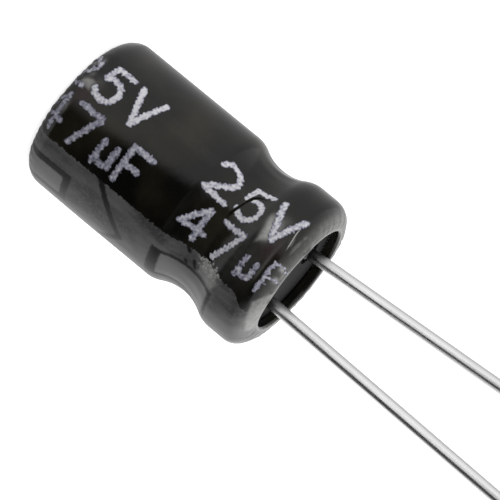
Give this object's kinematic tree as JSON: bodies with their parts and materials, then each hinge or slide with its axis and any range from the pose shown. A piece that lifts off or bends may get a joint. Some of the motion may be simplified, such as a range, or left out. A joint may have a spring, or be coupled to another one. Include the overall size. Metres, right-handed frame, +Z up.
{
  "type": "electrolytic capacitor",
  "caption": "Radial electrolytic capacitor: a beaded, sleeved can with a rubber bung, a polarity stripe and a long and a short wire lead at one end.",
  "frame": {"origin": "centre of the closed head's outer face, on the axis of the can", "axes": "+Z up the axis, from the head to the ends of the leads; +X towards the negative lead, which is the shorter one and has the printed stripe on its side"},
  "size_m": [0.0068, 0.0068, 0.0305],
  "materials": {
    "sleeve": "glossy shrunk film",
    "can": "drawn, satin",
    "bung": "moulded, matt",
    "tab": "plain, pressed",
    "lead": "bright tin plate",
    "anode_foil": "etched, matt grey",
    "cathode_foil": "plain foil",
    "separator": "soaked tissue",
    "closing_tape": "film tape"
  },
  "bodies": {
    "root": {"sleeve": "sleeve", "can": "can", "bung": "bung", "anode_tab": "tab", "cathode_tab": "tab", "anode_lead": "lead", "cathode_lead": "lead", "anode_foil": "anode_foil", "cathode_foil": "cathode_foil", "inner_separator": "separator", "outer_separator": "separator", "closing_tape": "closing_tape"}
  },
  "joints": []
}
